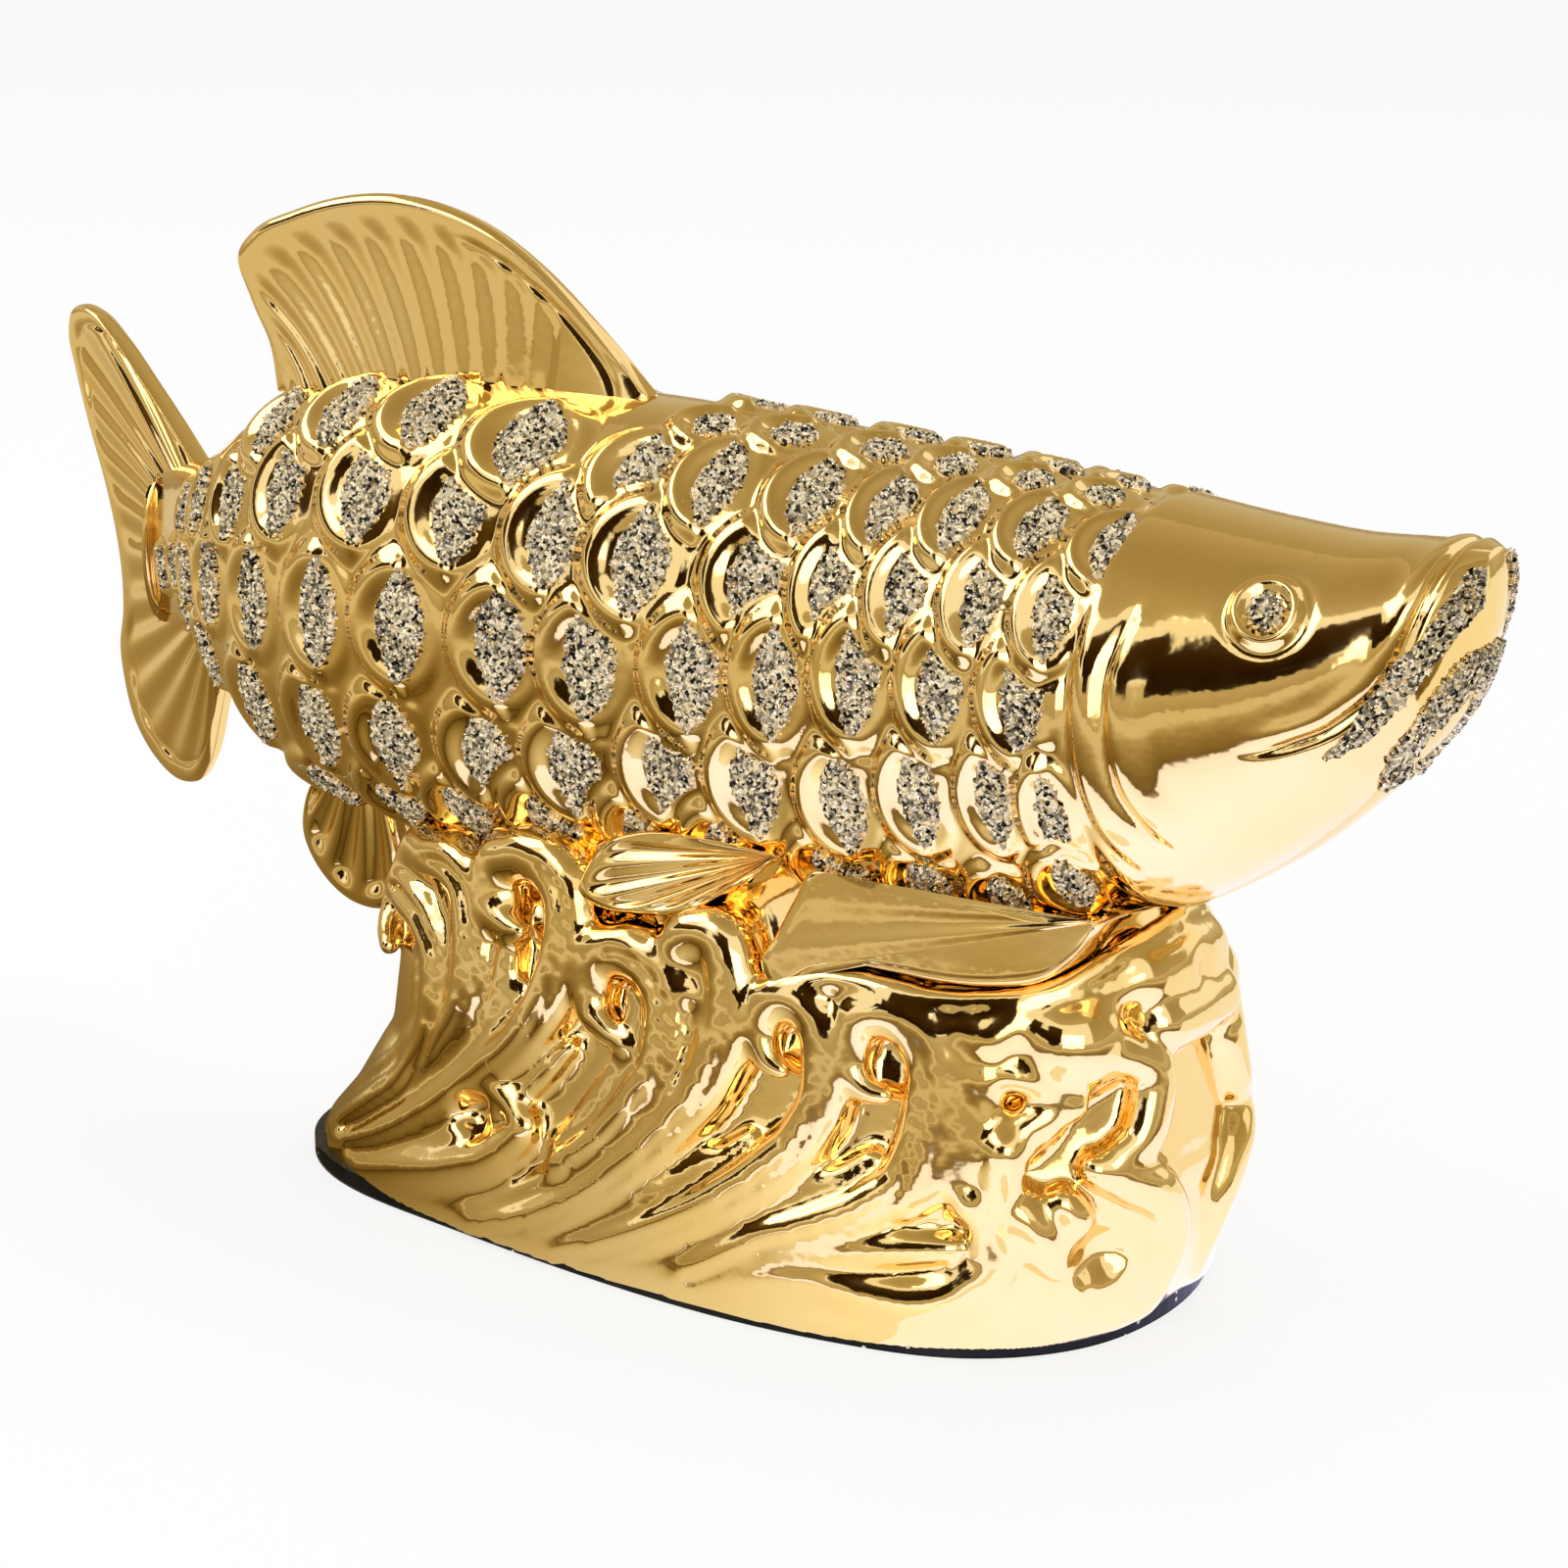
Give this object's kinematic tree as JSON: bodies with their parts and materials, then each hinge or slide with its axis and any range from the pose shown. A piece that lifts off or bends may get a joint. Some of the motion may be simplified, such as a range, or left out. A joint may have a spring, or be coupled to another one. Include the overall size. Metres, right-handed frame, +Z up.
{
  "type": "fish figurine",
  "caption": "Gold-plated ceramic dragon-fish figurine with glass-grit scales, swimming over a curling wave base on a dark sole.",
  "frame": {"origin": "on the underside of the sole, in the fish's middle plane, about under the middle of the wave base", "axes": "+X towards the fish's head, -Y towards the flank that the picture shows, +Z up"},
  "size_m": [0.3576, 0.1036, 0.1928],
  "materials": {
    "plated_ceramic": "gold electroplating over glaze, mirror bright",
    "glass_grit": "crushed mirror glass in clear adhesive, sparkling",
    "sole_lacquer": "glossy black lacquer coat"
  },
  "bodies": {
    "root": {"fish_body": "plated_ceramic", "dorsal_fin": "plated_ceramic", "tail_fin": "plated_ceramic", "anal_fin": "plated_ceramic", "pectoral_fin_right": "plated_ceramic", "pectoral_fin_left": "plated_ceramic", "pelvic_fin_right": "plated_ceramic", "pelvic_fin_left": "plated_ceramic", "wave_base": "plated_ceramic", "base_sole": "sole_lacquer", "ridge_grit_right": "glass_grit", "ridge_grit_left": "glass_grit", "scale_grit_right_row_1": "glass_grit", "scale_grit_left_row_1": "glass_grit", "scale_grit_right_row_2": "glass_grit", "scale_grit_left_row_2": "glass_grit", "scale_grit_right_row_3": "glass_grit", "scale_grit_left_row_3": "glass_grit", "scale_grit_right_row_4": "glass_grit", "scale_grit_left_row_4": "glass_grit", "scale_grit_right_row_5": "glass_grit", "scale_grit_left_row_5": "glass_grit", "eye_grit_right": "glass_grit", "eye_grit_left": "glass_grit", "lip_grit_right": "glass_grit", "lip_grit_left": "glass_grit", "chin_grit_right": "glass_grit", "chin_grit_left": "glass_grit"}
  },
  "joints": []
}
